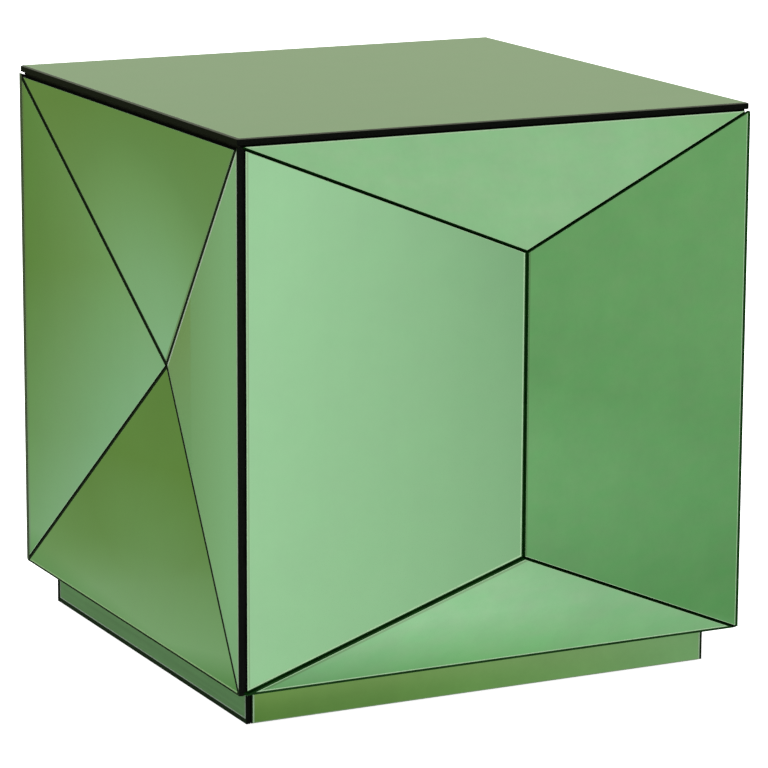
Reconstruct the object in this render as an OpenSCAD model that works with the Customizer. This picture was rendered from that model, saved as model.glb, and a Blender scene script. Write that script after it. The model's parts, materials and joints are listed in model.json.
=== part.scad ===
// Cube side table clad in green mirror glass.
// The front and back swell out into a four-sided hip with an upright ridge.
// The left and right sides fold in to a shallow four-sided recess.
// A flat glass sheet closes the top, and a set-back mirrored plinth carries the body.
// Millimetres. +Z is up, the front faces -Y, and the origin is under the middle, on the floor.

/* [Body] */
// Width and depth of the cube between its corner lines
body_w = 500; // [440:10:600]
// Height from the floor to the top of the glass
table_h = 520; // [480:5:620]
// Height of the body's lower edge above the floor
body_z = 36; // [34:1:44]

/* [Faceted sides] */
// How far the front and back ridges stand out from the corner lines
ridge_out = 48; // [30:1:60]
// Distance from each end of the ridge to the body's lower edge or the table top
ridge_end = 107; // [90:1:130]
// How far the left and right recesses run in from the corner lines
recess_in = 42; // [25:1:50]

/* [Glass] */
// Thickness of the mirror cladding
mirror_t = 4; // [3:1:5]
// Thickness of the top sheet
top_t = 6; // [5:1:10]
// How far the top sheet stops short of the corner lines
top_inset = 1; // [0:0.5:3]
// Open joint between two mirror facets, measured at their closest edges
seam = 0.6; // [0.4:0.2:2]
// Open joint above the front and back facets
hip_top_joint = 1; // [0.5:0.5:3]
// Open joint above the left and right facets
recess_top_joint = 4.5; // [1:0.5:6]
// Open joint below every facet
foot_joint = 1; // [0.5:0.5:3]
// Open corner joint beside a front or back facet
hip_corner_joint = 3; // [0.5:0.5:4]
// Open corner joint beside a left or right facet
recess_corner_joint = 1; // [0.5:0.5:4]

/* [Carcass] */
// Thickness of the top and bottom boards
board_t = 18; // [15:1:22]
// Thickness of the boards behind the facets
backer_t = 9; // [6:1:12]
// Side of a corner post, measured from the corner lines
post_w = 32; // [28:1:40]

/* [Plinth] */
// How far the plinth sits in from the left and right corner lines
plinth_side_inset = 20; // [15:1:35]
// How far the plinth sits in from the front and back corner lines
plinth_front_inset = 30; // [15:1:40]
// Thickness of the plinth rails
rail_t = 15; // [12:1:18]
// Gap under the plinth while the feet are wound right in
floor_gap = 1; // [0.5:0.5:4]
// How far each foot winds out
foot_travel = 8; // [4:1:10]

/* [Hidden] */
half_w = body_w / 2;
skin_top = table_h - top_t;
skin_low = body_z;
skin_mid = (skin_top + skin_low) / 2;
bay_low = skin_low + board_t;
bay_high = skin_top - board_t;
ridge_low = body_z + ridge_end;
ridge_high = table_h - ridge_end;
reach = 4 * body_w;
run_joint = 0.4;
corner_r = 2;

// Slope of each kind of facet, as an angle from the flat side of the cube
hip_side_tilt = atan(ridge_out / half_w);
hip_top_tilt = atan(ridge_out / (skin_top - ridge_high));
hip_low_tilt = atan(ridge_out / (ridge_low - skin_low));
recess_side_tilt = -atan(recess_in / half_w);
recess_end_tilt = -atan(recess_in / (skin_top - skin_mid));

// Angle by which the cladding folds at each kind of seam
ridge_fold = 2 * hip_side_tilt;
hip_top_fold = acos(cos(hip_side_tilt) * cos(hip_top_tilt));
hip_low_fold = acos(cos(hip_side_tilt) * cos(hip_low_tilt));
recess_fold = -acos(cos(recess_side_tilt) * cos(recess_end_tilt));

// Plinth and feet
plinth_x = half_w - plinth_side_inset;
plinth_y = half_w - plinth_front_inset;
strip_joint = 1;
strip_top_joint = 0.5;
rail_x = plinth_x - mirror_t;
rail_y = plinth_y - mirror_t;
rail_h = body_z - floor_gap;
block_w = 64;
block_x = rail_x - rail_t;
block_y = rail_y - rail_t;
foot_in = 24;
foot_x = block_x - foot_in;
foot_y = block_y - foot_in;
pad_r = 15;
pad_h = 7;
pad_clearance = 2;
pad_well_r = pad_r + pad_clearance;
pad_headroom = 0.5;
pad_well_top = pad_h + pad_headroom;
stud_r = 4;
stud_spare = 2;
insert_r = 6;
insert_shelf = 2;
insert_len = 12;
insert_low = pad_well_top + insert_shelf;
insert_top = insert_low + insert_len;
insert_clearance = 0.06;
stud_top = insert_top + foot_travel + stud_spare;
stud_clearance = 0.6;
stud_way_r = stud_r + stud_clearance;

// Screws
screw_r = 2;
screw_head_r = 4;
screw_head_h = 3;
screw_len = 44;
screw_fit = 0.05;
block_screw_near = 14;
block_screw_far = 52;
post_screw_x = 20;
post_screw_y = 18;
block_screw_sunk = 1;
block_screw_low = floor_gap + block_screw_sunk;
run_out = 1;

// Inner supports
rib_t = 15;
rib_deep = 60;
socket_w = 60;
socket_back = 45;
socket_deep = recess_in + socket_back;
brace_w = 40;

// ---- Outlines ----

// Direction of the edge from p to q, and the unit normal that points into a counter-clockwise outline
function edge_way(p, q) = (q - p) / norm(q - p);
function edge_inward(p, q) = [-edge_way(p, q).y, edge_way(p, q).x];
function cross_2d(a, b) = a.x * b.y - a.y * b.x;

// Where the line through p along u meets the line through q along v
function crossing(p, u, q, v) = p + u * cross_2d(q - p, v) / cross_2d(u, v);

// Counter-clockwise outline with its edge i, from point i to the next one, moved in by cuts[i]
function trimmed(outline, cuts) = let (n = len(outline)) [
    for (i = [0 : n - 1])
        let (before = outline[(i + n - 1) % n], here = outline[i], after = outline[(i + 1) % n])
            crossing(
                here + cuts[(i + n - 1) % n] * edge_inward(before, here), edge_way(before, here),
                here + cuts[i] * edge_inward(here, after), edge_way(here, after))];

// Room that a square-cut edge needs at a seam, on the front of a plate that lies between two depths
function seam_cut(fold, front, back) = seam / 2 + (fold > 0 ? back : front) * tan(fold / 2);

// True shapes of the facets, each in its own plane
function hip_side_shape() = let (run = half_w / cos(hip_side_tilt))
    [[0, skin_low], [run, ridge_low], [run, ridge_high], [0, skin_top]];
function recess_side_shape() = let (run = half_w / cos(recess_side_tilt))
    [[0, skin_low], [run, skin_mid], [0, skin_top]];
function end_shape(drop) = [[-half_w, 0], [0, -drop], [half_w, 0]];

// ---- Placing ----

// Turns what is drawn for the front, around the cube, to another side
module on_face(turn) {
    rotate([0, 0, turn]) translate([0, -half_w, 0]) children();
}

// Lays a flat drawing on the left-hand facet, with its x from the corner line and its y upwards
module on_side_plane(tilt) {
    translate([-half_w, 0, 0]) rotate([0, 0, -tilt]) rotate([90, 0, 0]) children();
}

// Lays a flat drawing on an end facet, with its y going down from the edge (hand 1 top, -1 bottom)
module on_end_plane(tilt, hand) {
    translate([0, 0, hand > 0 ? skin_top : skin_low])
        mirror([0, 0, hand > 0 ? 0 : 1])
            rotate([90 - tilt, 0, 0]) children();
}

// Flips a left-hand drawing to the right-hand facet when hand is 1
module to_hand(hand) {
    mirror([hand > 0 ? 1 : 0, 0, 0]) children();
}

// Flat plate between two depths behind the facet's plane
module plate(outline, cuts, front, back) {
    translate([0, 0, -back]) linear_extrude(back - front) polygon(trimmed(outline, cuts));
}

// ---- Facets, as plates between two depths ----

module hip_side(hand, corner_cut, front, back) {
    low_cut = seam_cut(hip_low_fold, front, back);
    top_cut = seam_cut(hip_top_fold, front, back);
    ridge_cut = seam_cut(ridge_fold, front, back);
    to_hand(hand) on_side_plane(hip_side_tilt)
        plate(hip_side_shape(), [low_cut, ridge_cut, top_cut, corner_cut], front, back);
}

module hip_end(hand, edge_cut, front, back) {
    tilt = hand > 0 ? hip_top_tilt : hip_low_tilt;
    fold = hand > 0 ? hip_top_fold : hip_low_fold;
    drop = norm([ridge_out, hand > 0 ? skin_top - ridge_high : ridge_low - skin_low]);
    cut = seam_cut(fold, front, back);
    on_end_plane(tilt, hand) plate(end_shape(drop), [cut, cut, edge_cut], front, back);
}

module recess_side(hand, corner_cut, front, back) {
    cut = seam_cut(recess_fold, front, back);
    to_hand(hand) on_side_plane(recess_side_tilt)
        plate(recess_side_shape(), [cut, cut, corner_cut], front, back);
}

module recess_end(hand, edge_cut, front, back) {
    drop = norm([recess_in, skin_top - skin_mid]);
    cut = seam_cut(recess_fold, front, back);
    on_end_plane(recess_end_tilt, hand) plate(end_shape(drop), [cut, cut, edge_cut], front, back);
}

// ---- Mirror cladding ----

// Each side's mirrors run out to its right-hand corner and butt against the next side at its left
function corner_cut_at(hand, joint) = hand > 0 ? run_joint : mirror_t + joint;

module hip_side_mirror(hand) {
    color("darkseagreen") hip_side(hand, corner_cut_at(hand, hip_corner_joint), 0, mirror_t);
}

module hip_end_mirror(hand) {
    color("darkseagreen") hip_end(hand, hand > 0 ? hip_top_joint : foot_joint, 0, mirror_t);
}

module recess_side_mirror(hand) {
    color("olivedrab") recess_side(hand, corner_cut_at(hand, recess_corner_joint), 0, mirror_t);
}

module recess_end_mirror(hand) {
    color("olivedrab") recess_end(hand, hand > 0 ? recess_top_joint : foot_joint, 0, mirror_t);
}

// Plain sheet with its upright corners rounded
module top_mirror() {
    side = body_w - 2 * top_inset;
    color("darkgray") translate([0, 0, skin_top]) {
        translate([-side / 2 + corner_r, -side / 2, 0]) cube([side - 2 * corner_r, side, top_t]);
        translate([-side / 2, -side / 2 + corner_r, 0]) cube([side, side - 2 * corner_r, top_t]);
        for (x = [-1, 1], y = [-1, 1])
            translate([x * (side / 2 - corner_r), y * (side / 2 - corner_r), 0])
                cylinder(h = top_t, r = corner_r, $fn = 32);
    }
}

// ---- Boards behind the mirrors ----

// Opening between two corner posts and the top and bottom boards
module window() {
    wide = body_w - 2 * post_w;
    translate([-wide / 2, -half_w, bay_low]) cube([wide, body_w, bay_high - bay_low]);
}

module hip_side_backer(hand) {
    color("burlywood") intersection() {
        hip_side(hand, 0, mirror_t, mirror_t + backer_t);
        window();
    }
}

module hip_end_backer(hand) {
    color("burlywood") intersection() {
        hip_end(hand, 0, mirror_t, mirror_t + backer_t);
        window();
    }
}

module recess_side_backer(hand) {
    color("burlywood") intersection() {
        recess_side(hand, 0, mirror_t, mirror_t + backer_t);
        window();
    }
}

module recess_end_backer(hand) {
    color("burlywood") intersection() {
        recess_end(hand, 0, mirror_t, mirror_t + backer_t);
        window();
    }
}

// ---- Carcass, cut back to a depth behind the outer faces of the glass ----

// Everything behind one facet's plane at a depth
module behind(depth) {
    translate([-reach / 2, -reach / 2, -reach - depth]) cube(reach);
}

// Everything in front of one facet's plane at a depth
module ahead(depth) {
    translate([-reach / 2, -reach / 2, -depth]) cube(reach);
}

// Space behind all four facets of a hip
module hip_inside(depth) {
    intersection() {
        on_side_plane(hip_side_tilt) behind(depth);
        to_hand(1) on_side_plane(hip_side_tilt) behind(depth);
        on_end_plane(hip_top_tilt, 1) behind(depth);
        on_end_plane(hip_low_tilt, -1) behind(depth);
    }
}

// Space in front of all four facets of a recess
module recess_outside(depth) {
    intersection() {
        on_side_plane(recess_side_tilt) ahead(depth);
        to_hand(1) on_side_plane(recess_side_tilt) ahead(depth);
        on_end_plane(recess_end_tilt, 1) ahead(depth);
        on_end_plane(recess_end_tilt, -1) ahead(depth);
    }
}

// Cuts its children back to a depth behind all four sides
module cut_to_skin(depth) {
    difference() {
        intersection() {
            children();
            on_face(0) hip_inside(depth);
            on_face(180) hip_inside(depth);
        }
        on_face(-90) recess_outside(depth);
        on_face(90) recess_outside(depth);
    }
}

module board_blank(low) {
    deep = body_w + 2 * ridge_out;
    translate([-half_w, -deep / 2, low]) cube([body_w, deep, board_t]);
}

module top_board() {
    color("dimgray") difference() {
        cut_to_skin(mirror_t) board_blank(bay_high);
        post_screw_holes();
    }
}

module bottom_board() {
    color("dimgray") difference() {
        cut_to_skin(mirror_t) board_blank(skin_low);
        post_screw_holes();
        block_screw_holes();
    }
}

module post(x, y) {
    far = half_w - post_w;
    color("dimgray") difference() {
        cut_to_skin(mirror_t)
            translate([x > 0 ? far : -half_w, y > 0 ? far : -far - 2 * post_w, bay_low])
                cube([post_w, 2 * post_w, bay_high - bay_low]);
        post_screw_holes();
    }
}

// Upright board that carries the ridge between two hip sides
module ridge_rib() {
    color("tan") intersection() {
        translate([-rib_t / 2, -ridge_out, bay_low])
            cube([rib_t, ridge_out + rib_deep, bay_high - bay_low]);
        hip_inside(mirror_t + backer_t);
    }
}

// Block hollowed to take the backs of the four boards that meet at the apex of a recess
module apex_socket() {
    color("tan") difference() {
        translate([-socket_w / 2, 0, skin_mid - socket_w / 2]) cube([socket_w, socket_deep, socket_w]);
        recess_outside(mirror_t + backer_t);
    }
}

// Batten between the two apex sockets
module cross_brace() {
    span = body_w - 2 * socket_deep;
    color("tan") translate([-span / 2, -brace_w / 2, skin_mid - brace_w / 2])
        cube([span, brace_w, brace_w]);
}

// ---- Plinth ----

// Each strip runs out to its right-hand corner, seen from outside, and butts at its left
module plinth_strip(half_len, out) {
    start = mirror_t + strip_joint - half_len;
    color("olivedrab") translate([start, -out, floor_gap])
        cube([half_len - start, mirror_t, body_z - strip_top_joint - floor_gap]);
}

module plinth_rail_long(turn) {
    color("dimgray") rotate([0, 0, turn]) translate([-rail_x, -rail_y, floor_gap])
        cube([2 * rail_x, rail_t, rail_h]);
}

module plinth_rail_short(turn) {
    color("dimgray") rotate([0, 0, turn]) translate([-block_y, -rail_x, floor_gap])
        cube([2 * block_y, rail_t, rail_h]);
}

// Repeats its child at the four corners, mirrored so that it always points outwards
module at_corners() {
    for (x = [0, 1], y = [0, 1]) mirror([x, 0, 0]) mirror([0, y, 0]) children();
}

module plinth_corner_blocks() {
    color("tan") difference() {
        at_corners() translate([block_x - block_w, block_y - block_w, floor_gap])
            cube([block_w, block_w, rail_h]);
        at_corners() translate([foot_x, foot_y, 0]) foot_way();
        block_screw_holes();
    }
}

// Stepped hole for one foot: a well for the pad, a seat for the insert and a way for the stud
module foot_way() {
    cylinder(h = pad_well_top, r = pad_well_r, $fn = 64);
    cylinder(h = insert_top, r = insert_r, $fn = 48);
    cylinder(h = body_z + run_out, r = stud_way_r, $fn = 48);
}

module foot_inserts() {
    color("goldenrod") at_corners() translate([foot_x, foot_y, insert_low])
        difference() {
            cylinder(h = insert_len, r = insert_r, $fn = 48);
            translate([0, 0, -run_out])
                cylinder(h = insert_len + 2 * run_out, r = stud_r + insert_clearance, $fn = 48);
        }
}

// Threaded stud moulded into a round pad
module foot(x, y) {
    color("silver") translate([x * foot_x, y * foot_y, 0]) {
        cylinder(h = pad_h, r = pad_r, $fn = 64);
        translate([0, 0, pad_h]) cylinder(h = stud_top - pad_h, r = stud_r, $fn = 48);
    }
}

// ---- Screws ----

// Screw with its head down, whose head's lower face is at z = 0
module screw(grow) {
    cylinder(h = screw_head_h + grow, r = screw_head_r + grow, $fn = 32);
    cylinder(h = screw_len + grow, r = screw_r + grow, $fn = 32);
}

module at_block_screws() {
    at_corners() {
        translate([block_x - block_screw_near, block_y - block_screw_far, block_screw_low]) children();
        translate([block_x - block_screw_far, block_y - block_screw_near, block_screw_low]) children();
    }
}

module at_post_screws() {
    at_corners() translate([half_w - post_screw_x, half_w - post_screw_y, 0]) {
        translate([0, 0, skin_low]) children();
        translate([0, 0, skin_top]) mirror([0, 0, 1]) children();
    }
}

// Holes for the screws, open towards the heads
module block_screw_holes() {
    at_block_screws() {
        screw(screw_fit);
        translate([0, 0, -block_screw_sunk - run_out])
            cylinder(h = block_screw_sunk + 2 * run_out, r = screw_head_r + screw_fit, $fn = 32);
    }
}

module post_screw_holes() {
    at_post_screws() {
        screw(screw_fit);
        translate([0, 0, -run_out])
            cylinder(h = 2 * run_out, r = screw_head_r + screw_fit, $fn = 32);
    }
}

module block_screws() {
    color("silver") at_block_screws() screw(0);
}

module post_screws() {
    color("silver") at_post_screws() screw(0);
}

// ---- Nodes ----

top_mirror();

on_face(0) hip_side_mirror(-1);  // front_mirror_left
on_face(0) hip_side_mirror(1);  // front_mirror_right
on_face(0) hip_end_mirror(1);  // front_mirror_top
on_face(0) hip_end_mirror(-1);  // front_mirror_bottom
on_face(180) hip_side_mirror(1);  // back_mirror_left
on_face(180) hip_side_mirror(-1);  // back_mirror_right
on_face(180) hip_end_mirror(1);  // back_mirror_top
on_face(180) hip_end_mirror(-1);  // back_mirror_bottom
on_face(-90) recess_side_mirror(1);  // left_mirror_front
on_face(-90) recess_side_mirror(-1);  // left_mirror_back
on_face(-90) recess_end_mirror(1);  // left_mirror_top
on_face(-90) recess_end_mirror(-1);  // left_mirror_bottom
on_face(90) recess_side_mirror(-1);  // right_mirror_front
on_face(90) recess_side_mirror(1);  // right_mirror_back
on_face(90) recess_end_mirror(1);  // right_mirror_top
on_face(90) recess_end_mirror(-1);  // right_mirror_bottom

plinth_strip(plinth_x, plinth_y);  // plinth_mirror_front
rotate([0, 0, 180]) plinth_strip(plinth_x, plinth_y);  // plinth_mirror_back
rotate([0, 0, -90]) plinth_strip(plinth_y, plinth_x);  // plinth_mirror_left
rotate([0, 0, 90]) plinth_strip(plinth_y, plinth_x);  // plinth_mirror_right

top_board();
bottom_board();
post(-1, -1);  // post_front_left
post(1, -1);  // post_front_right
post(-1, 1);  // post_back_left
post(1, 1);  // post_back_right

on_face(0) hip_side_backer(-1);  // front_backer_left
on_face(0) hip_side_backer(1);  // front_backer_right
on_face(0) hip_end_backer(1);  // front_backer_top
on_face(0) hip_end_backer(-1);  // front_backer_bottom
on_face(180) hip_side_backer(1);  // back_backer_left
on_face(180) hip_side_backer(-1);  // back_backer_right
on_face(180) hip_end_backer(1);  // back_backer_top
on_face(180) hip_end_backer(-1);  // back_backer_bottom
on_face(-90) recess_side_backer(1);  // left_backer_front
on_face(-90) recess_side_backer(-1);  // left_backer_back
on_face(-90) recess_end_backer(1);  // left_backer_top
on_face(-90) recess_end_backer(-1);  // left_backer_bottom
on_face(90) recess_side_backer(-1);  // right_backer_front
on_face(90) recess_side_backer(1);  // right_backer_back
on_face(90) recess_end_backer(1);  // right_backer_top
on_face(90) recess_end_backer(-1);  // right_backer_bottom

on_face(0) ridge_rib();  // ridge_rib_front
on_face(180) ridge_rib();  // ridge_rib_back
on_face(-90) apex_socket();  // apex_socket_left
on_face(90) apex_socket();  // apex_socket_right
cross_brace();

plinth_rail_long(0);  // plinth_rail_front
plinth_rail_long(180);  // plinth_rail_back
plinth_rail_short(-90);  // plinth_rail_left
plinth_rail_short(90);  // plinth_rail_right
plinth_corner_blocks();
foot_inserts();
block_screws();
post_screws();

foot(-1, -1);  // foot_front_left
foot(1, -1);  // foot_front_right
foot(-1, 1);  // foot_back_left
foot(1, 1);  // foot_back_right
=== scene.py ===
# Cube side table clad in green mirror glass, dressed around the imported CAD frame.
# Metres. +Z is up and the front faces -Y. Widths named in the tables below are in millimetres.
import json
import math

import bmesh
import bpy
from mathutils import Matrix, Vector


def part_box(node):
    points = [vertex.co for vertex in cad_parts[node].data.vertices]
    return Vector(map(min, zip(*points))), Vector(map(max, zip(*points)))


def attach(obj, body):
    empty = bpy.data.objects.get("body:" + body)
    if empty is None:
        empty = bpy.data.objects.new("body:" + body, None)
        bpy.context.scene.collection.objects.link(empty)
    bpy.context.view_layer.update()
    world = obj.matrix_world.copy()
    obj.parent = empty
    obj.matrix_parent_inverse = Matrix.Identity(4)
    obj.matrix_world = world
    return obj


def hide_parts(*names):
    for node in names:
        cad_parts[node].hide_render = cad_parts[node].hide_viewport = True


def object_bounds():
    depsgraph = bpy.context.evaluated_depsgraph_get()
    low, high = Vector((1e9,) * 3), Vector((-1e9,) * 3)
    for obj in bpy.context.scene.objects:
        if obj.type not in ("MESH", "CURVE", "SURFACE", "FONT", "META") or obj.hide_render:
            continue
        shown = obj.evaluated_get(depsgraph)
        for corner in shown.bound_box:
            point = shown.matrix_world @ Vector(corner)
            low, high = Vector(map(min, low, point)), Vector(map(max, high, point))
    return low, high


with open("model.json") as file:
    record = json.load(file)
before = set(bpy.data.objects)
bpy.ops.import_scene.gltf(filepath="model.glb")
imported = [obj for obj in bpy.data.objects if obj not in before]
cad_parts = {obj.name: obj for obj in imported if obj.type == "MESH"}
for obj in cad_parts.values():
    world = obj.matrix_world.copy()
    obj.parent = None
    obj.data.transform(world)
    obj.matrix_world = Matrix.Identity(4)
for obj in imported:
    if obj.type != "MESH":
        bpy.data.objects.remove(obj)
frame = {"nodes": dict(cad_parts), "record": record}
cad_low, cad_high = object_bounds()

MM = 0.001
ARRIS = 0.2 * MM
WELD = 1e-6  # points closer than this are one point
FLOOR_LEVEL = cad_low.z - 0.5 * MM
UP = Vector((0, 0, 1))
SIDES = {
    "front": Vector((0, -1, 0)),
    "back": Vector((0, 1, 0)),
    "left": Vector((-1, 0, 0)),
    "right": Vector((1, 0, 0)),
}
HIPS = ("front", "back")


# ---- Camera ----

def make_camera():
    """Long lens from the front left, a little above the top of the table."""
    azimuth, elevation, roll = math.radians(-26.5), math.radians(12.5), math.radians(0.25)
    distance = 3.6
    aim = Vector((0.0095, -0.005, cad_low.z + 0.238))
    back = Vector((
        math.sin(azimuth) * math.cos(elevation),
        -math.cos(azimuth) * math.cos(elevation),
        math.sin(elevation)))
    data = bpy.data.cameras.new("camera")
    data.lens = 181.3
    data.clip_start, data.clip_end = 0.1, 60
    camera = bpy.data.objects.new("camera", data)
    camera.location = aim + back * distance
    turn = (-back).to_track_quat("-Z", "Y").to_matrix() @ Matrix.Rotation(roll, 3, "Z")
    camera.rotation_euler = turn.to_euler()
    bpy.context.scene.collection.objects.link(camera)
    bpy.context.scene.camera = camera


# ---- Shader helpers ----

def add_node(tree, kind, **values):
    """New node, with its settings given by attribute name and its inputs by socket name."""
    node = tree.nodes.new(kind)
    for key, value in values.items():
        name = key.replace("_", " ").title()
        if name in node.inputs:
            plug(tree, value, node.inputs[name])
        else:
            setattr(node, key, value)
    return node


def plug(tree, value, socket):
    """Links an output to a socket, or sets the socket to a plain value."""
    if isinstance(value, bpy.types.NodeSocket):
        tree.links.new(value, socket)
    else:
        socket.default_value = value


def colour(rgb):
    """Colour with full alpha."""
    return (*rgb, 1.0)


def new_material(name, **values):
    """Material with a Principled shader. Returns the material, its tree and the shader."""
    material = bpy.data.materials.new(name)
    material.use_nodes = True
    tree = material.node_tree
    shader = tree.nodes["Principled BSDF"]
    for key, value in values.items():
        shader.inputs[key.replace("_", " ").title().replace("Ior", "IOR")].default_value = value
    return material, tree, shader


def object_point(tree, stretch=(1, 1, 1)):
    """Position in the object's own frame, in metres, scaled along each axis."""
    point = add_node(tree, "ShaderNodeTexCoord").outputs["Object"]
    scaled = add_node(tree, "ShaderNodeVectorMath", operation="MULTIPLY")
    plug(tree, point, scaled.inputs[0])
    scaled.inputs[1].default_value = stretch
    return scaled.outputs["Vector"]


def noise(tree, scale, detail, stretch=(1, 1, 1)):
    """Cloudy value around one half, fixed to the object, whose coordinates stretch multiplies."""
    return add_node(
        tree, "ShaderNodeTexNoise", vector=object_point(tree, stretch), scale=scale, detail=detail
    ).outputs["Fac"]


def spread(tree, value, low, high, start=0.0, end=1.0):
    """Maps a value that runs from start to end on to low to high."""
    node = add_node(tree, "ShaderNodeMapRange")
    for socket, number in (("Value", value), ("From Min", start), ("From Max", end),
                           ("To Min", low), ("To Max", high)):
        plug(tree, number, node.inputs[socket])
    return node.outputs["Result"]


def fade(tree, value, start, end):
    """Rises from 0 to 1 as a value goes from start to end."""
    return spread(tree, value, 0.0, 1.0, start, end)


def combine(tree, operation, first, second):
    """Sum, product or ratio of two values."""
    node = add_node(tree, "ShaderNodeMath", operation=operation)
    plug(tree, first, node.inputs[0])
    plug(tree, second, node.inputs[1])
    return node.outputs["Value"]


def ramp(tree, value, stops):
    """Colour ramp from a list of (place, rgb)."""
    node = add_node(tree, "ShaderNodeValToRGB")
    elements = node.color_ramp.elements
    while len(elements) < len(stops):
        elements.new(0.5)
    for element, (place, rgb) in zip(elements, stops):
        element.position = place
        element.color = colour(rgb)
    plug(tree, value, node.inputs["Fac"])
    return node.outputs["Color"]


def blend(tree, amount, first, second, mode="MIX"):
    """Mixes two colours, by the places of the Mix node's colour sockets."""
    first_place, second_place, result_place = 6, 7, 2
    node = add_node(tree, "ShaderNodeMix", data_type="RGBA", blend_type=mode)
    plug(tree, amount, node.inputs["Factor"])
    plug(tree, first, node.inputs[first_place])
    plug(tree, second, node.inputs[second_place])
    return node.outputs[result_place]


def dimmed(tree, rgb, amount):
    """Colour multiplied by a grey amount."""
    grey = add_node(tree, "ShaderNodeCombineColor", red=amount, green=amount, blue=amount)
    first = rgb if isinstance(rgb, bpy.types.NodeSocket) else colour(rgb)
    return blend(tree, 1.0, first, grey.outputs["Color"], "MULTIPLY")


def relief(tree, height, strength, depth):
    """Bump from a height."""
    return add_node(
        tree, "ShaderNodeBump", height=height, strength=strength, distance=depth
    ).outputs["Normal"]


# ---- Materials ----

def painted_shading_drift(tree, stops, rise=1):
    """Painted light and shade of a recess facet: a tint that drifts lighter or darker with the distance
    from the middle of its side.

    A rise of 0 leaves the height out of that distance.
    """
    away = add_node(tree, "ShaderNodeVectorMath", operation="DISTANCE")
    plug(tree, object_point(tree, (0, 1, rise)), away.inputs[0])
    away.inputs[1].default_value = (0, 0, APEX_HEIGHT * rise)
    return ramp(tree, combine(tree, "DIVIDE", away.outputs["Value"], DRIFT_REACH), stops)


def level_painted_shading_drift(tree, stops):
    """The same painted light and shade, with the level distance alone."""
    return painted_shading_drift(tree, stops, rise=0)


def sliding_painted_shading(tree, stops):
    """Painted light and shade: a tint that drifts along X, from one end of a piece to the other."""
    split = add_node(tree, "ShaderNodeSeparateXYZ", vector=object_point(tree))
    return ramp(tree, fade(tree, split.outputs["X"], -SLIDE_HALF, SLIDE_HALF), stops)


def streaked(tree, tint, strength):
    """Tint that wanders between a warmer and a cooler green, in streaks that run level."""
    streaks = noise(tree, 55.0, detail=3.0, stretch=(0.6, 0.6, 1.4))
    cool = colour((1 - strength, 1 + 0.2 * strength, 1 - 0.5 * strength))
    warm = colour((1 + strength, 1 - 0.2 * strength, 1 + 0.5 * strength))
    turn = blend(tree, fade(tree, streaks, 0.3, 0.7), cool, warm)
    return blend(tree, 1.0, tint, turn, "MULTIPLY")


def mirror_glass(name, tint, mottle=0.03, streaks=0.012, bands=0.012, across=(70, 70, 2),
                 shine=(0.03, 0.07), coat=1.0, drift=None):
    """Tinted float glass, silvered behind: a green metal under a clear coat, faintly uneven.

    The numbers of across say how fast its bands change along each axis.
    """
    material, tree, shader = new_material(name, metallic=1.0, coat_weight=coat, coat_roughness=0.02)
    # Where a drift is given, it paints light and shade into the tint.
    tint = streaked(tree, drift(tree, tint) if drift else colour(tint), streaks)
    cloud = spread(tree, noise(tree, 30.0, detail=4.0), 1 - mottle, 1 + mottle)
    pull = spread(tree, noise(tree, 1.0, detail=2.0, stretch=across), 1 - bands, 1 + bands)
    speck = spread(tree, noise(tree, 160.0, detail=2.0), 1 - mottle / 3, 1 + mottle / 3)
    tone = combine(tree, "MULTIPLY", combine(tree, "MULTIPLY", cloud, pull), speck)
    plug(tree, dimmed(tree, tint, tone), shader.inputs["Base Color"])
    haze = spread(tree, noise(tree, 30.0, detail=4.0), shine[0], shine[1])
    plug(tree, haze, shader.inputs["Roughness"])
    wave = relief(tree, noise(tree, 5.0, detail=1.0), strength=0.04, depth=0.002)
    plug(tree, wave, shader.inputs["Normal"])
    return material


def cut_edge():
    """Cut side of the glass: almost black, ground, with the chatter of the grinding wheel."""
    material, tree, shader = new_material("glass cut edge", specular_ior_level=0.02)
    chatter = noise(tree, 900.0, detail=3.0)
    tone = ramp(tree, chatter, [(0.3, (0.001, 0.0013, 0.001)), (0.75, (0.004, 0.0045, 0.0035))])
    plug(tree, tone, shader.inputs["Base Color"])
    plug(tree, spread(tree, chatter, 0.25, 0.5), shader.inputs["Roughness"])
    plug(tree, relief(tree, chatter, strength=0.3, depth=0.0002), shader.inputs["Normal"])
    return material


def green_edge():
    """Cut side of the glass where it is polished instead, and shows the green of the sheet."""
    material, tree, shader = new_material("glass polished edge", roughness=0.3, specular_ior_level=0.3)
    cloud = noise(tree, 50.0, detail=4.0, stretch=(1, 1, 0.3))
    tone = ramp(tree, cloud, [(0.3, (0.018, 0.030, 0.011)), (0.8, (0.036, 0.056, 0.023))])
    plug(tree, tone, shader.inputs["Base Color"])
    return material


def dark_margin(name, low, high):
    """Where the black backing shows through the glass along an edge, in a very dark green."""
    material, tree, shader = new_material(name, roughness=0.4, specular_ior_level=0.03)
    tone = ramp(tree, noise(tree, 60.0, detail=4.0), [(0.3, low), (0.8, high)])
    plug(tree, tone, shader.inputs["Base Color"])
    return material


def ground_arris_and_highlight(name, tint):
    """Ground arris, in a thin line broken here and there; a pale tint makes it a painted highlight, the
    light that the arris catches.
    """
    material, tree, shader = new_material(name, specular_ior_level=0.05)
    nicks = spread(tree, noise(tree, 220.0, detail=3.0), 0.82, 1.1)
    plug(tree, dimmed(tree, tint, nicks), shader.inputs["Base Color"])
    plug(tree, spread(tree, noise(tree, 500.0, detail=2.0), 0.3, 0.5), shader.inputs["Roughness"])
    return material


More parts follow.
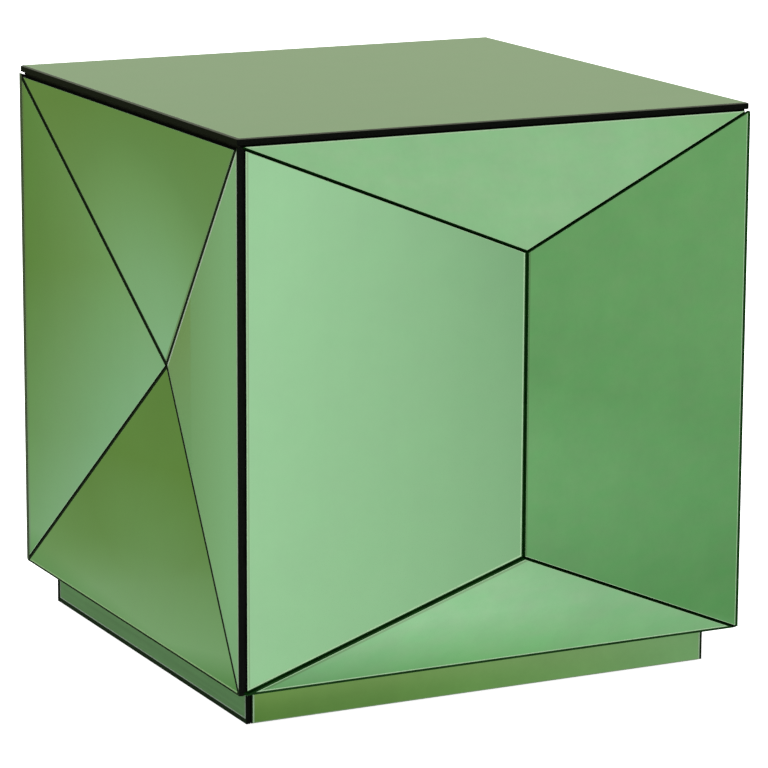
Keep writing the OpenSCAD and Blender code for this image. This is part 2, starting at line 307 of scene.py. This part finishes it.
def black_lacquer():
    """Black lacquer on fibreboard, with a fine orange-peel texture and a little dust."""
    material, tree, shader = new_material("black lacquer", specular_ior_level=0.05)
    dust = noise(tree, 45.0, detail=6.0)
    tone = ramp(tree, dust, [(0.35, (0.002, 0.002, 0.0015)), (0.8, (0.007, 0.007, 0.006))])
    plug(tree, tone, shader.inputs["Base Color"])
    plug(tree, spread(tree, dust, 0.3, 0.55), shader.inputs["Roughness"])
    peel = noise(tree, 600.0, detail=2.0)
    plug(tree, relief(tree, peel, strength=0.15, depth=0.0002), shader.inputs["Normal"])
    return material


def stained_fibreboard():
    """Fibreboard stained black, with the fibres showing as fine flecks."""
    material, tree, shader = new_material("stained fibreboard", specular_ior_level=0.1)
    fleck = noise(tree, 700.0, detail=5.0)
    tone = ramp(tree, fleck, [(0.4, (0.004, 0.004, 0.0035)), (0.8, (0.02, 0.018, 0.015))])
    plug(tree, tone, shader.inputs["Base Color"])
    plug(tree, spread(tree, fleck, 0.7, 0.9), shader.inputs["Roughness"])
    plug(tree, relief(tree, fleck, strength=0.4, depth=0.0003), shader.inputs["Normal"])
    return material


def softwood():
    """Planed softwood with stretched grain."""
    material, tree, shader = new_material("planed softwood")
    grain = noise(tree, 6.0, detail=6.0, stretch=(30, 30, 1.5))
    tone = ramp(tree, grain, [
        (0.3, (0.36, 0.21, 0.10)), (0.55, (0.56, 0.38, 0.21)), (0.8, (0.68, 0.50, 0.31))])
    plug(tree, tone, shader.inputs["Base Color"])
    plug(tree, spread(tree, grain, 0.5, 0.75), shader.inputs["Roughness"])
    plug(tree, relief(tree, grain, strength=0.25, depth=0.0004), shader.inputs["Normal"])
    return material


def machined_metal(name, rgb, shine):
    """Turned or plated metal with fine tool marks."""
    material, tree, shader = new_material(name, metallic=1.0)
    marks = noise(tree, 40.0, detail=4.0, stretch=(1, 1, 40))
    plug(tree, dimmed(tree, rgb, spread(tree, marks, 0.85, 1.1)), shader.inputs["Base Color"])
    plug(tree, spread(tree, marks, shine, shine + 0.2), shader.inputs["Roughness"])
    plug(tree, relief(tree, marks, strength=0.2, depth=0.0001), shader.inputs["Normal"])
    return material


def moulded_nylon():
    """Black nylon of a foot's pad, with a fine moulded grain."""
    material, tree, shader = new_material("black nylon")
    grain = noise(tree, 1500.0, detail=2.0)
    tone = ramp(tree, grain, [(0.3, (0.012, 0.012, 0.012)), (0.8, (0.03, 0.03, 0.029))])
    plug(tree, tone, shader.inputs["Base Color"])
    plug(tree, spread(tree, grain, 0.45, 0.65), shader.inputs["Roughness"])
    plug(tree, relief(tree, grain, strength=0.3, depth=0.0001), shader.inputs["Normal"])
    return material


APEX_HEIGHT = sum(v.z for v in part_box("left_mirror_front")) / 2
DRIFT_REACH = 0.4  # distance from the middle of a side that a place of 1 in RECESS_PAINTED_SHADING_GREENS stands for
SLIDE_HALF = 0.25  # distance from the table's middle to either end of a sliding tint
GREEN = (0.30, 0.60, 0.30)
# Tints of the recess facets from the middle of the side outwards, by the facet's place: the green of the
# glass with painted light and shade, lighter or darker towards the middle of the side.
# They were scaled from colour ratios measured against the photo.
RECESS_PAINTED_SHADING_GREENS = {
    "left": [(0.08, (0.43, 0.80, 0.61)), (0.22, (0.38, 0.74, 0.51)), (0.43, (0.31, 0.60, 0.33)),
             (0.60, (0.24, 0.52, 0.21))],
    "top": [(0.08, (0.36, 0.79, 0.64)), (0.22, (0.33, 0.75, 0.57)), (0.41, (0.24, 0.60, 0.32)),
            (0.52, (0.17, 0.49, 0.19)), (0.62, (0.16, 0.46, 0.14))],
    "bottom": [(0.08, (0.21, 0.49, 0.20)), (0.21, (0.23, 0.53, 0.23)), (0.36, (0.21, 0.49, 0.18)),
               (0.48, (0.17, 0.42, 0.10)), (0.70, (0.17, 0.43, 0.11))],
    "right": [(0.05, (0.06, 0.36, 0.03)), (0.14, (0.10, 0.41, 0.06)), (0.27, (0.20, 0.49, 0.16)),
              (0.38, (0.27, 0.58, 0.27)), (0.54, (0.35, 0.70, 0.43))],
}
# Tints of the same facets' pale lines, painted highlights along their arrises.
RECESS_HIGHLIGHTS = {"left": (0.21, 0.33, 0.20), "top": (0.18, 0.32, 0.18), "bottom": (0.15, 0.26, 0.11),
                "right": (0.24, 0.30, 0.22)}
# Painted light and shade on the top facets of the front and back, and on the front and back plinth strips:
# tints that slide along X, from the end that is at the left as seen from the front.
HIP_TOP_PAINTED_SHADING = [(0.05, GREEN), (0.75, GREEN), (0.97, (0.26, 0.56, 0.24))]
PLINTH_PAINTED_SHADING = [(0.07, (0.23, 0.38, 0.11)), (0.35, (0.24, 0.38, 0.13)), (0.70, (0.28, 0.44, 0.19)),
                (0.93, (0.28, 0.48, 0.23))]
PLINTH_TEAL = (0.23, 0.35, 0.23)
# Pale line of the side strips: a painted highlight.
PLINTH_HIGHLIGHT = (0.16, 0.21, 0.16)


# ---- Outlines of glass ----

def plate_outline(node, outward):
    """Corners of a plate's outer face, the face's normal, and the plate's thickness."""
    flat_within, facing = math.radians(0.5), 0.5
    mesh = bmesh.new()
    mesh.from_mesh(frame["nodes"][node].data)
    bmesh.ops.remove_doubles(mesh, verts=mesh.verts, dist=WELD)
    bmesh.ops.dissolve_limit(mesh, angle_limit=flat_within, verts=mesh.verts, edges=mesh.edges)
    faces = [f for f in mesh.faces if f.normal.dot(outward) > facing]
    outer = max(faces, key=lambda f: f.calc_area())
    corners = [v.co.copy() for v in outer.verts]
    normal = outer.normal.copy()
    depth = max((corners[0] - v.co).dot(normal) for v in mesh.verts)
    mesh.free()
    return corners, normal, depth


def flat_axes(normal):
    """Two axes in an upright or sloping plane, the first level."""
    right = UP.cross(normal).normalized()
    return right, normal.cross(right)


def inset(points, widths):
    """Flat counter-clockwise outline with the edge after each point moved in by its own width."""
    least_turn = 1e-6
    moved = []
    for i, here in enumerate(points):
        before, after = points[i - 1], points[(i + 1) % len(points)]
        way_in, way_out = (here - before).normalized(), (after - here).normalized()
        start = here + widths[i - 1] * Vector((-way_in.y, way_in.x))
        end = here + widths[i] * Vector((-way_out.y, way_out.x))
        turn = way_in.x * way_out.y - way_in.y * way_out.x
        along = (end - start).x * way_out.y - (end - start).y * way_out.x
        moved.append(start + way_in * along / turn if abs(turn) > least_turn else end)
    return moved


def nipped(points):
    """Outline with its sharp tips nipped off, as a glazier does, short of where the arrises meet."""
    sharp, arris_share = math.radians(75), 0.8
    cut = []
    for i, here in enumerate(points):
        before, after = points[i - 1] - here, points[(i + 1) % len(points)] - here
        half = before.angle(after) / 2
        if half < sharp / 2:
            nip = arris_share * ARRIS / (math.sin(half) * math.cos(half))
            cut += [here + before.normalized() * nip, here + after.normalized() * nip]
        else:
            cut += [here, here]
    return cut


def doubled(items):
    """Each item twice, as nipped gives each corner two points."""
    return [item for item in items for _ in range(2)]


def edge_kind(start, end, across, middle_z):
    """Name of an edge: ridge, top or foot, a corner with its hand, or a seam with its height and hand."""
    upright, level, near_middle = 0.99, 0.01, 20 * MM
    middle = (start + end) / 2
    rise = abs(end.z - start.z) / (end - start).length
    high = middle.z > middle_z
    hand = "right" if middle.dot(across) > 0 else "left"
    if rise > upright:
        return "ridge" if abs(middle.dot(across)) < near_middle else hand + " corner"
    if rise < level:
        return "top" if high else "foot"
    return ("high " if high else "low ") + hand + " seam"


# ---- Glass pieces ----

def ring_piece(name, loops, materials, finishes):
    """Closed solid through a stack of outlines. finishes[i][edge] is the material's place."""
    mesh = bmesh.new()
    rings = [[mesh.verts.new(p) for p in loop] for loop in loops]
    count = len(loops[0])
    mesh.faces.new(list(reversed(rings[0]))).material_index = finishes[0][0]
    for i in range(len(rings) - 1):
        for k in range(count):
            nxt = (k + 1) % count
            face = mesh.faces.new([rings[i][k], rings[i][nxt], rings[i + 1][nxt], rings[i + 1][k]])
            face.material_index = finishes[i + 1][k]
    mesh.faces.new(rings[-1]).material_index = finishes[-1][0]
    bmesh.ops.remove_doubles(mesh, verts=mesh.verts, dist=WELD)
    bmesh.ops.dissolve_degenerate(mesh, edges=mesh.edges, dist=WELD)
    data = bpy.data.meshes.new(name)
    mesh.to_mesh(data)
    mesh.free()
    for material in materials:
        data.materials.append(material)
    piece = bpy.data.objects.new(name, data)
    bpy.context.scene.collection.objects.link(piece)
    return piece


# Places of the materials that glass_materials gives.
FACE, SIDE, DARK, LIGHT, SHADE, BACK, GREEN_SIDE = range(7)


def band_widths(tables, role, kinds):
    """How far in from each edge the arris, dark margin, pale line and inner line end."""
    reached = [[ARRIS] * len(kinds)]
    for band in ("dark", "light", "shade"):
        table = tables[band]
        added = [table.get((role, kind), table.get(kind, table["all"])) * MM for kind in kinds]
        reached.append([before + width for before, width in zip(reached[-1], added)])
    return reached


def glass_plate(node, outward, role, materials, tables, middle_z):
    """Mirror plate that stands for a CAD node: arris, dark margin, pale line, inner line and face."""
    corners, normal, depth = plate_outline(node, outward)
    right, up = flat_axes(normal)
    origin = corners[0]
    flat = [Vector(((c - origin).dot(right), (c - origin).dot(up))) for c in corners]
    kinds = [edge_kind(start, end, UP.cross(outward), middle_z)
             for start, end in zip(corners, corners[1:] + corners[:1])]

    def place(points, low):
        return [origin + right * p.x + up * p.y - normal * low for p in points]

    outer = nipped(flat)
    loops = [place(outer, depth), place(outer, ARRIS)]
    loops += [place(doubled(inset(flat, widths)), 0) for widths in band_widths(tables, role, kinds)]
    wall = doubled([tables["wall"].get(kind, SIDE) for kind in kinds])
    bevel = doubled([tables["bevel"].get(kind, SIDE) for kind in kinds])
    same = len(outer)
    finishes = [[BACK] * same, wall, bevel, [DARK] * same, [LIGHT] * same,
                [SHADE] * same, [FACE] * same]
    piece = ring_piece(node + ".glass", loops, materials, finishes)
    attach(piece, "table")
    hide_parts(node)


# Widths in millimetres, by the edge's name, or by the plate's role and the edge's name. The role is a
# facet's place on its side, or a strip's side. Places and hands are as seen from outside that side.
# The bevel and wall tables give the material of an edge's arris and of its cut side.
# The light bands are pale lines of painted highlight.
HIP_SEAMS = ("high left seam", "high right seam", "low left seam", "low right seam", "ridge")
# The shade bands are inner lines of painted shade.
HIP_TABLES = {
    "dark": {"all": 0.1, ("left", "ridge"): 1.1, ("left", "low left seam"): 0.9, "foot": 2.7,
             ("bottom", "low left seam"): 1.5, "right corner": 3.2, ("right", "ridge"): 0.5},
    "light": {"all": 0.4, "left corner": 0.9, ("left", "ridge"): 1.2, ("right", "ridge"): 0.1,
              ("left", "low left seam"): 1.5, ("right", "high right seam"): 0.1,
              "right corner": 0.8, ("bottom", "low left seam"): 0.8, "foot": 1.2, "top": 1.2},
    "shade": {"all": 0.1, "left corner": 1.4, ("right", "ridge"): 1.6,
              ("bottom", "low left seam"): 2.5},
    "bevel": {"foot": LIGHT, **dict.fromkeys(HIP_SEAMS, DARK)},
    "wall": {"right corner": GREEN_SIDE, **dict.fromkeys(HIP_SEAMS, DARK)},
}
RECESS_TABLES = {
    "dark": {"all": 0.1, ("top", "high left seam"): 3.0, ("left", "high left seam"): 1.8,
             ("bottom", "low left seam"): 2.8, ("left", "low left seam"): 0.8,
             ("top", "high right seam"): 2.0, ("right", "high right seam"): 0.8,
             ("right", "low right seam"): 2.4, ("bottom", "low right seam"): 0.9, "foot": 1.6,
             "left corner": 0.4, "right corner": 2.0},
    "light": {"all": 0.1, ("right", "high right seam"): 2.2, ("right", "low right seam"): 0.4,
              ("left", "low left seam"): 0.5, "foot": 1.2, "right corner": 2.0},
    "shade": {"all": 0.1, ("top", "high right seam"): 2.0, "left corner": 3.0},
    "bevel": {"foot": LIGHT, "low right seam": DARK},
    "wall": {"low right seam": DARK},
}
STRIP_TABLES = {
    "dark": {"all": 0.1, ("left", "foot"): 4.4, ("right", "foot"): 4.4,
             "left corner": 1.2, "right corner": 1.2, ("front", "right corner"): 2.2},
    "light": {"all": 0.4, ("left", "foot"): 1.0, ("right", "foot"): 1.0,
              "left corner": 1.4, "right corner": 1.4},
    "shade": {"all": 0.3},
    "bevel": {},
    "wall": {},
}


def glass_materials(name, tint, pale=(0.23, 0.36, 0.21), margin="deep margin", **looks):
    """Materials of a mirror plate, in the order of FACE, SIDE and the rest."""
    middle = tint[len(tint) // 2][1] if looks.get("drift") else tint
    # The inner line is a darker copy of the mirror glass: painted shade along the edges.
    painted_shade_share = (0.8, 0.7, 0.7)
    inner = [part * share for part, share in zip(middle, painted_shade_share)]
    # The pale line, in the pale tint, is a painted highlight along the arris.
    return [mirror_glass(name, tint, **looks), MATERIAL["edge"], MATERIAL[margin],
            ground_arris_and_highlight(name + " pale line", pale), mirror_glass(name + " inner line", inner),
            MATERIAL["lacquer"], MATERIAL["green edge"]]


def facet_place(side, part):
    """Place of a facet on its side as seen from outside: left, right, top or bottom."""
    if part in ("top", "bottom"):
        return part
    return "right" if SIDES[part].dot(UP.cross(SIDES[side])) > 0 else "left"


def make_facets():
    """Sixteen facets, four on each side."""
    uneven = {"mottle": 0.08, "streaks": 0.06, "margin": "margin"}
    streaked_glass = glass_materials("green mirror streaked", GREEN, **uneven)
    hip_glass = {
        "left": glass_materials("green mirror", GREEN, margin="margin"),
        # The top facets' tint carries painted light and shade along X.
        "top": glass_materials("green mirror sliding", HIP_TOP_PAINTED_SHADING, drift=sliding_painted_shading, **uneven),
        "right": streaked_glass, "bottom": streaked_glass}
    # Recess facets: tints with painted light and shade that drift with the distance from the middle of the
    # side.
    recess_glass = {
        place: glass_materials(
            "green mirror " + place, tint, RECESS_HIGHLIGHTS[place],
            drift=level_painted_shading_drift if place in ("left", "right") else painted_shading_drift,
            shine=(0.14, 0.20) if place == "right" else (0.03, 0.07))
        for place, tint in RECESS_PAINTED_SHADING_GREENS.items()}
    for side, outward in SIDES.items():
        tables = HIP_TABLES if side in HIPS else RECESS_TABLES
        uprights = ("left", "right") if side in HIPS else ("front", "back")
        for part in uprights + ("top", "bottom"):
            place = facet_place(side, part)
            glass = (hip_glass if side in HIPS else recess_glass)[place]
            glass_plate(side + "_mirror_" + part, outward, place, glass,
                        tables, APEX_HEIGHT)


def make_plinth_strips():
    """Four strips round the plinth, of a darker and more uneven mirror."""
    looks = {"mottle": 0.1, "shine": (0.28, 0.34), "coat": 0.0}
    # The front and back strips' tint carries painted shade, darker and yellower towards the left end.
    broad = glass_materials("plinth mirror", PLINTH_PAINTED_SHADING, drift=sliding_painted_shading, **looks)
    teal = glass_materials("plinth mirror side", PLINTH_TEAL, PLINTH_HIGHLIGHT, bands=0.3,
                           across=(4, 4, 160), **looks)
    for side, outward in SIDES.items():
        node = "plinth_mirror_" + side
        low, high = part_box(node)
        glass_plate(node, outward, side, broad if side in HIPS else teal,
                    STRIP_TABLES, (low.z + high.z) / 2)


def rounded_square(half, radius, height):
    """Level square with round corners, counter-clockwise seen from above."""
    steps = 6
    points = []
    for quarter in range(4):
        middle = Matrix.Rotation(quarter * math.pi / 2, 3, "Z") @ Vector((half - radius, half - radius, 0))
        for step in range(steps + 1):
            turn = (quarter + step / steps) * math.pi / 2
            points.append(middle + Vector((radius * math.cos(turn), radius * math.sin(turn), height)))
    return points


def make_top_sheet():
    """Top sheet: black ground edges, a grey arris, a thin pale line of painted highlight, and the mirror
    face.
    """
    low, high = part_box("top_mirror")
    thick = high.z - low.z
    corner_radius, least_radius = 2 * MM, 0.1 * MM
    lower_arris, upper_arris, highlight_line = 0.3 * MM, 2.2 * MM, 0.3 * MM
    arris_drop, line_drop = 0.8 * MM, 0.02 * MM

    def level(width, drop):
        radius = max(corner_radius - width, least_radius)
        return rounded_square(high.x - width, radius, high.z - drop)

    loops = [level(lower_arris, thick), level(0, thick - lower_arris), level(0, arris_drop),
             level(upper_arris, line_drop), level(upper_arris + highlight_line, 0)]
    face, edge, under, bevel, line = range(5)
    finishes = [[tone] * len(loops[0]) for tone in (under, edge, edge, bevel, line, face)]
    materials = [mirror_glass("top mirror", GREEN, mottle=0.06, streaks=0.06), MATERIAL["edge"],
                 MATERIAL["lacquer"], ground_arris_and_highlight("top arris", (0.06, 0.066, 0.045)),
                 ground_arris_and_highlight("top pale line", (0.30, 0.40, 0.26))]
    piece = ring_piece("top_mirror.glass", loops, materials, finishes)
    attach(piece, "table")
    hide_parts("top_mirror")


# ---- Finishes of the CAD nodes that stay ----

SLOT_FINISH = {
    "black_board": "lacquer",
    "backer_board": "fibreboard",
    "raw_timber": "timber",
    "brass": "brass",
    "zinc_screw": "zinc",
}


def finish_boards():
    """Gives the boards, blocks, inserts and screws the finish of their material slot."""
    for part in frame["record"]["subparts"]:
        finish = SLOT_FINISH.get(part["material_slot"])
        if finish:
            data = frame["nodes"][part["node"]].data
            data.materials.clear()
            data.materials.append(MATERIAL[finish])


def finish_feet():
    """Nylon pad and zinc stud on each foot, told apart by the faces' height."""
    pad_top = 7.2 * MM
    for node, item in frame["nodes"].items():
        if node.startswith("foot_") and node != "foot_inserts":
            item.data.materials.clear()
            item.data.materials.append(MATERIAL["nylon"])
            item.data.materials.append(MATERIAL["zinc"])
            for face in item.data.polygons:
                face.material_index = 1 if face.center.z > pad_top else 0


# ---- Studio ----

def emission_material(name, make_colour):
    """Glowing material, whose colour is made in its own node tree."""
    material = bpy.data.materials.new(name)
    material.use_nodes = True
    tree = material.node_tree
    tree.nodes.remove(tree.nodes["Principled BSDF"])
    glow = add_node(tree, "ShaderNodeEmission", color=make_colour(tree))
    plug(tree, glow.outputs["Emission"], tree.nodes["Material Output"].inputs["Surface"])
    return material


def floor_plane(name, half, material):
    """Level square for the studio floor, just under the feet."""
    mesh = bmesh.new()
    mesh.faces.new([mesh.verts.new((x * half, y * half, FLOOR_LEVEL))
                    for x, y in ((-1, -1), (1, -1), (1, 1), (-1, 1))])
    data = bpy.data.meshes.new(name)
    mesh.to_mesh(data)
    mesh.free()
    data.materials.append(material)
    item = bpy.data.objects.new(name, data)
    bpy.context.scene.collection.objects.link(item)
    return item


def white_floor():
    """Plain white floor, bright enough to show only the deepest shade, and clear from below."""
    material, tree, shader = new_material("floor", roughness=0.9, emission_strength=0.88)
    shader.inputs["Base Color"].default_value = colour((0.8, 0.8, 0.8))
    shader.inputs["Emission Color"].default_value = colour((1, 1, 1))
    faces_down = add_node(tree, "ShaderNodeNewGeometry").outputs["Backfacing"]
    clear = add_node(tree, "ShaderNodeBsdfTransparent")
    either = add_node(tree, "ShaderNodeMixShader")
    plug(tree, faces_down, either.inputs["Fac"])
    plug(tree, shader.outputs["BSDF"], either.inputs[1])
    plug(tree, clear.outputs["BSDF"], either.inputs[2])
    plug(tree, either.outputs["Shader"], tree.nodes["Material Output"].inputs["Surface"])
    floor = floor_plane("studio_floor", 12, material)
    floor.visible_glossy = False


def slanted(tree, x, y, slope):
    """Distance to the right of a line on the floor that leans by the slope."""
    return combine(tree, "ADD", x, combine(tree, "MULTIPLY", y, slope))


def floor_behind(tree, x, y, away):
    """Painted reflection of the floor behind and to the left: olive, dimmer with distance, and dim green
    close to the table.
    """
    farthest, lift, dim_green = 3.0, (1.15, 1.10, 1.35), (0.31, 0.48, 0.26)
    # Olive of the painted reflection, dimmer with distance.
    boards = ramp(tree, combine(tree, "DIVIDE", away, farthest), [
        (0.13, (0.50, 0.60, 0.42)), (0.35, (0.38, 0.47, 0.25)), (0.70, (0.30, 0.37, 0.13))])
    lifted = blend(tree, 1.0, boards, colour(lift), "MULTIPLY")
    far_left = fade(tree, combine(tree, "DIVIDE", x, y), -0.70, -0.95)
    around = blend(tree, far_left, boards, lifted)
    close = fade(tree, slanted(tree, x, y, 0.13), -0.37, -0.29)
    return blend(tree, close, around, colour(dim_green))


def floor_in_front(tree, x, y):
    """White sweep that turns green to the right, with the table's own shade close to its foot."""
    right_green = (0.29, 0.45, 0.27)
    lane = ramp(tree, fade(tree, slanted(tree, x, y, 0.093), -0.63, 2.37), [
        (0.10, (0.98, 0.98, 0.98)), (0.17, (0.79, 0.81, 0.78)), (0.22, (0.61, 0.65, 0.60)),
        (0.36, (0.52, 0.65, 0.49)), (0.53, (0.36, 0.51, 0.33)),
        (0.67, (0.39, 0.53, 0.35)), (0.95, (0.41, 0.55, 0.36))])
    rightward = fade(tree, x, -0.2, 0.3)
    shade = ramp(tree, rightward, [
        (0.08, (0.40, 0.54, 0.39)), (0.4, (0.48, 0.68, 0.46)), (0.82, (0.56, 0.69, 0.55))])
    edge = ramp(tree, rightward, [
        (0.36, (0.86, 0.92, 0.87)), (0.55, (0.80, 0.86, 0.80)), (0.68, (0.69, 0.76, 0.69))])
    pool = blend(tree, fade(tree, y, -0.315, -0.27), edge, shade)
    sweep = blend(tree, fade(tree, y, -0.42, -0.34), lane, pool)
    right_of_table = combine(
        tree, "MULTIPLY", fade(tree, x, 0.25, 0.38), fade(tree, y, -0.95, -0.45))
    return blend(tree, right_of_table, sweep, colour(right_green))


def studio_floor_colour(tree):
    """What the mirrors see below the horizon, with the table's shade at its left foot."""
    left_shade = (0.29, 0.45, 0.25)
    point = add_node(tree, "ShaderNodeTexCoord").outputs["Object"]
    split = add_node(tree, "ShaderNodeSeparateXYZ", vector=point)
    x, y = split.outputs["X"], split.outputs["Y"]
    away = add_node(tree, "ShaderNodeVectorMath", operation="LENGTH")
    plug(tree, point, away.inputs[0])
    floor = blend(tree, fade(tree, y, -0.15, 0.1), floor_in_front(tree, x, y),
                  floor_behind(tree, x, y, away.outputs["Value"]))
    left_of_table = spread(tree, x, 1.0, 0.0, -0.235, -0.205)
    front_to_middle = combine(
        tree, "MULTIPLY", fade(tree, y, -0.30, -0.24), spread(tree, y, 1.0, 0.0, 0.0, 0.2))
    beside = combine(tree, "MULTIPLY", left_of_table, front_to_middle)
    return blend(tree, beside, floor, colour(left_shade))


def reflected_floor():
    """A glowing plane that only the mirrors see, painted with the floor they reflect and the table's shade
    near its foot; no camera and no other surface sees it.
    """
    material = emission_material("reflected floor", studio_floor_colour)
    floor = floor_plane("studio_floor_reflected", 14, material)
    floor.visible_camera = False
    floor.visible_diffuse = False
    floor.visible_shadow = False
    floor.visible_transmission = False


def studio_world():
    """White to the camera; to the mirrors, a pale ceiling over a dimmer olive horizon."""
    world = bpy.data.worlds.new("studio")
    bpy.context.scene.world = world
    world.use_nodes = True
    tree = world.node_tree
    way = add_node(tree, "ShaderNodeTexCoord").outputs["Generated"]
    height = add_node(tree, "ShaderNodeSeparateXYZ", vector=way).outputs["Z"]
    room = ramp(tree, height, [
        (0.0, (0.34, 0.42, 0.26)), (0.16, (0.36, 0.44, 0.285)), (0.45, (0.76, 0.78, 0.72)),
        (1.0, (0.90, 0.91, 0.88))])
    path = add_node(tree, "ShaderNodeLightPath")
    seen = blend(tree, path.outputs["Is Glossy Ray"], colour((0.95, 0.95, 0.95)), room)
    plug(tree, seen, tree.nodes["Background"].inputs["Color"])


def soft_sun():
    """Broad light from above the camera's left shoulder, unseen in the mirrors."""
    shines_along = Vector((0.35, 0.45, -1))
    data = bpy.data.lights.new("sun", "SUN")
    data.energy = 1.6
    data.angle = math.radians(50)
    sun = bpy.data.objects.new("sun", data)
    sun.rotation_euler = shines_along.to_track_quat("-Z", "Y").to_euler()
    sun.visible_glossy = False
    bpy.context.scene.collection.objects.link(sun)


make_camera()
MATERIAL = {
    "edge": cut_edge(),
    "green edge": green_edge(),
    "margin": dark_margin("glass dark margin", (0.002, 0.016, 0.002), (0.005, 0.034, 0.004)),
    "deep margin": dark_margin("glass deep margin", (0.001, 0.004, 0.001), (0.003, 0.010, 0.002)),
    "lacquer": black_lacquer(),
    "fibreboard": stained_fibreboard(),
    "timber": softwood(),
    "brass": machined_metal("machined brass", (0.78, 0.57, 0.25), 0.2),
    "zinc": machined_metal("zinc plate", (0.55, 0.56, 0.58), 0.3),
    "nylon": moulded_nylon(),
}
make_facets()
make_plinth_strips()
make_top_sheet()
finish_boards()
finish_feet()
white_floor()
reflected_floor()
studio_world()
soft_sun()
bpy.context.scene.view_settings.view_transform = "Standard"
